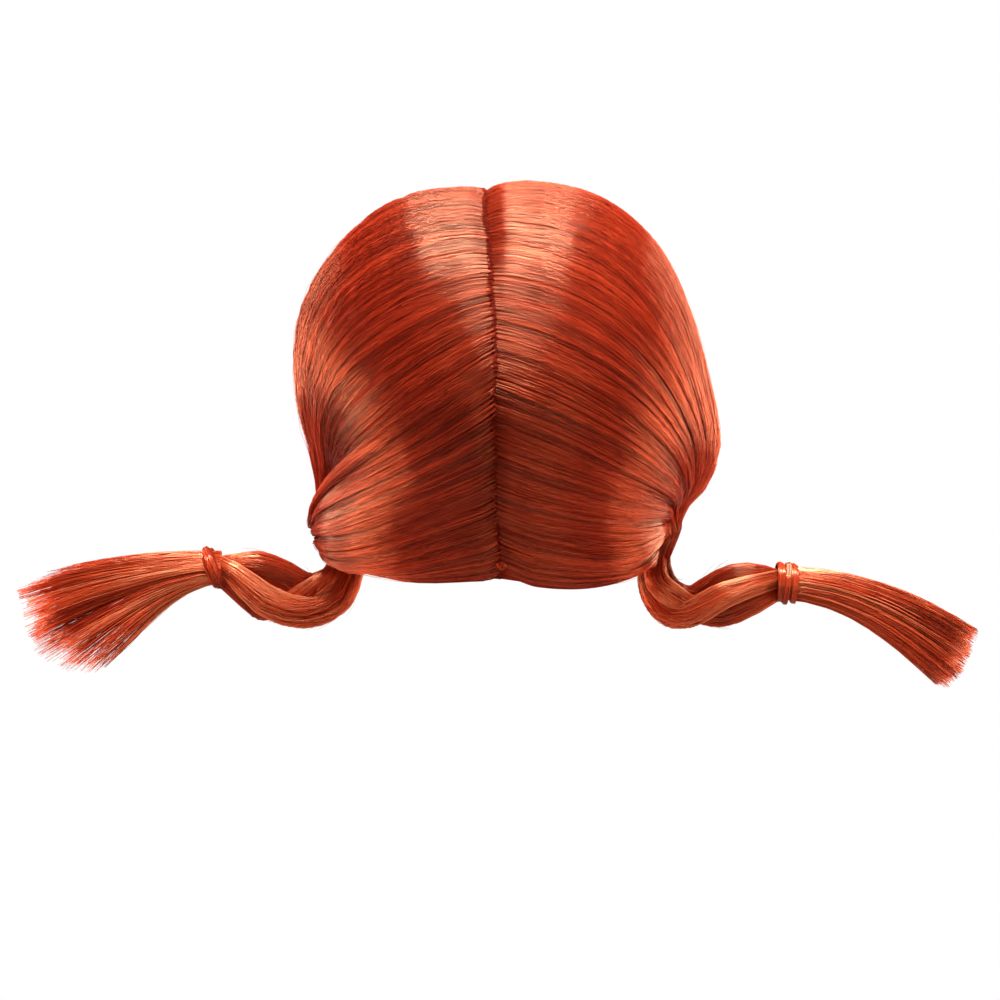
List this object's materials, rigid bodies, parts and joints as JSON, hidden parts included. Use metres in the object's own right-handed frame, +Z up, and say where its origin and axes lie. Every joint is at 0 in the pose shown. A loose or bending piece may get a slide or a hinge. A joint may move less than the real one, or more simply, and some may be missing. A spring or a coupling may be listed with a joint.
{
  "type": "braided wig",
  "caption": "Centre-parted wig of straight hair drawn to a short plait at each side, each tied above a loose tuft; hollow and open below and in front for a head.",
  "frame": {"origin": "inside of the crown, where the wig rests on top of the wearer's head", "axes": "+Z up, +Y towards the wearer's face, +X towards the wearer's right; looking along +Y shows the back of the wig"},
  "size_m": [0.439, 0.1968, 0.2312],
  "materials": {
    "hair": "glossy synthetic fibre",
    "seam": "sewn wefts, matt",
    "hair_wrap": "glossy synthetic fibre",
    "elastic": "satin"
  },
  "bodies": {
    "root": {"parting_seam": "seam", "hair_front_left": "hair", "hair_back_left": "hair", "plait_left_strand_a": "hair", "plait_left_strand_b": "hair", "plait_left_strand_c": "hair", "tie_left": "hair_wrap", "tuft_left": "hair", "hair_front_right": "hair", "hair_back_right": "hair", "plait_right_strand_a": "hair", "plait_right_strand_b": "hair", "plait_right_strand_c": "hair", "tie_right": "elastic", "tuft_right": "hair"}
  },
  "joints": []
}
